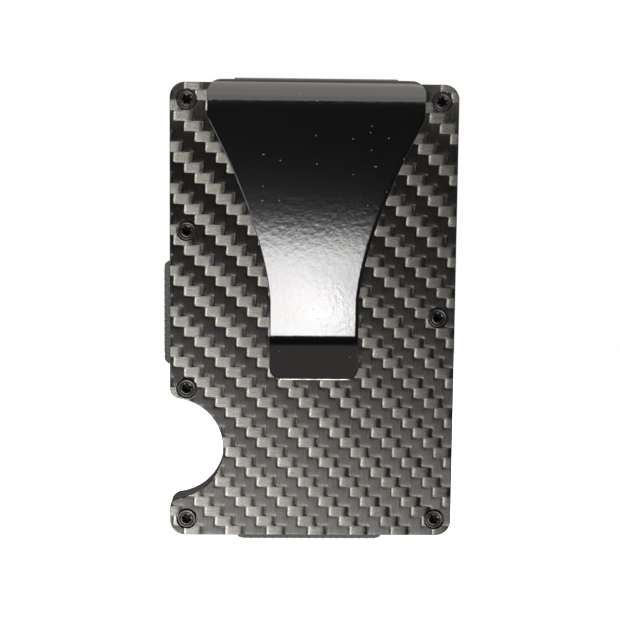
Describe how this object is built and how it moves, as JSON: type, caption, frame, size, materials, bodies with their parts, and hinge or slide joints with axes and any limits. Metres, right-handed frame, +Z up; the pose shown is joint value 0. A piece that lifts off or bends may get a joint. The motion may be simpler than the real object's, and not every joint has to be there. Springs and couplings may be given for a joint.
{
  "type": "money clip",
  "caption": "Slim card holder of two carbon fibre plates joined by elastic, with a thumb notch and a tapered spring steel clip for banknotes on its front.",
  "frame": {"origin": "middle of the flat underside of the lengthwise elastic, the lowest face of the upright holder", "axes": "+Z up along the plates' long side towards the clip's bend, -Y out of the front face that carries the clip, +X to the right seen from the front"},
  "size_m": [0.0552, 0.0092, 0.0881],
  "materials": {
    "carbon_fibre": "2 by 2 twill woven carbon fibre in satin resin, dark grey",
    "anodised_aluminium": "black anodised sheet with bead-blasted faces",
    "coated_spring_steel": "gloss black coating on spring steel",
    "black_oxide_steel": "black oxide, machined head",
    "woven_elastic": "black ribbed woven elastic"
  },
  "bodies": {
    "front_half": {"front_outer_plate": "carbon_fibre", "front_inner_plate": "anodised_aluminium", "front_screw_top_left": "black_oxide_steel", "front_screw_top_right": "black_oxide_steel", "front_screw_upper_left": "black_oxide_steel", "front_screw_middle_right": "black_oxide_steel", "front_screw_lower_left": "black_oxide_steel", "front_screw_bottom_left": "black_oxide_steel", "front_screw_bottom_right": "black_oxide_steel", "lengthwise_elastic_front": "woven_elastic", "side_elastic_front": "woven_elastic", "lengthwise_elastic_top": "woven_elastic", "lengthwise_elastic_bottom": "woven_elastic", "side_elastic_bridge": "woven_elastic", "clip_neck": "coated_spring_steel"},
    "back_half": {"back_outer_plate": "carbon_fibre", "back_inner_plate": "anodised_aluminium", "back_screw_top_left": "black_oxide_steel", "back_screw_top_right": "black_oxide_steel", "back_screw_upper_left": "black_oxide_steel", "back_screw_middle_right": "black_oxide_steel", "back_screw_lower_left": "black_oxide_steel", "back_screw_bottom_left": "black_oxide_steel", "back_screw_bottom_right": "black_oxide_steel", "lengthwise_elastic_back": "woven_elastic", "side_elastic_back": "woven_elastic"},
    "clip_spring": {"clip_arm": "coated_spring_steel"}
  },
  "joints": [
    {"name": "plates_spread", "type": "slide", "parent": "front_half", "child": "back_half", "axis": [0, 1, 0], "range_m": [0, 0.009], "stiffness_N_per_m": 800, "springref_m": -0.006, "deforming": ["lengthwise_elastic_top", "lengthwise_elastic_bottom", "side_elastic_bridge"]},
    {"name": "clip_flex", "type": "hinge", "parent": "front_half", "child": "clip_spring", "pos_m": [0.00025, -0.00402, 0.08769], "axis": [-1, 0, 0], "range_deg": [0, 7], "stiffness_Nm_per_rad": 1.5, "springref_deg": -8.59}
  ]
}
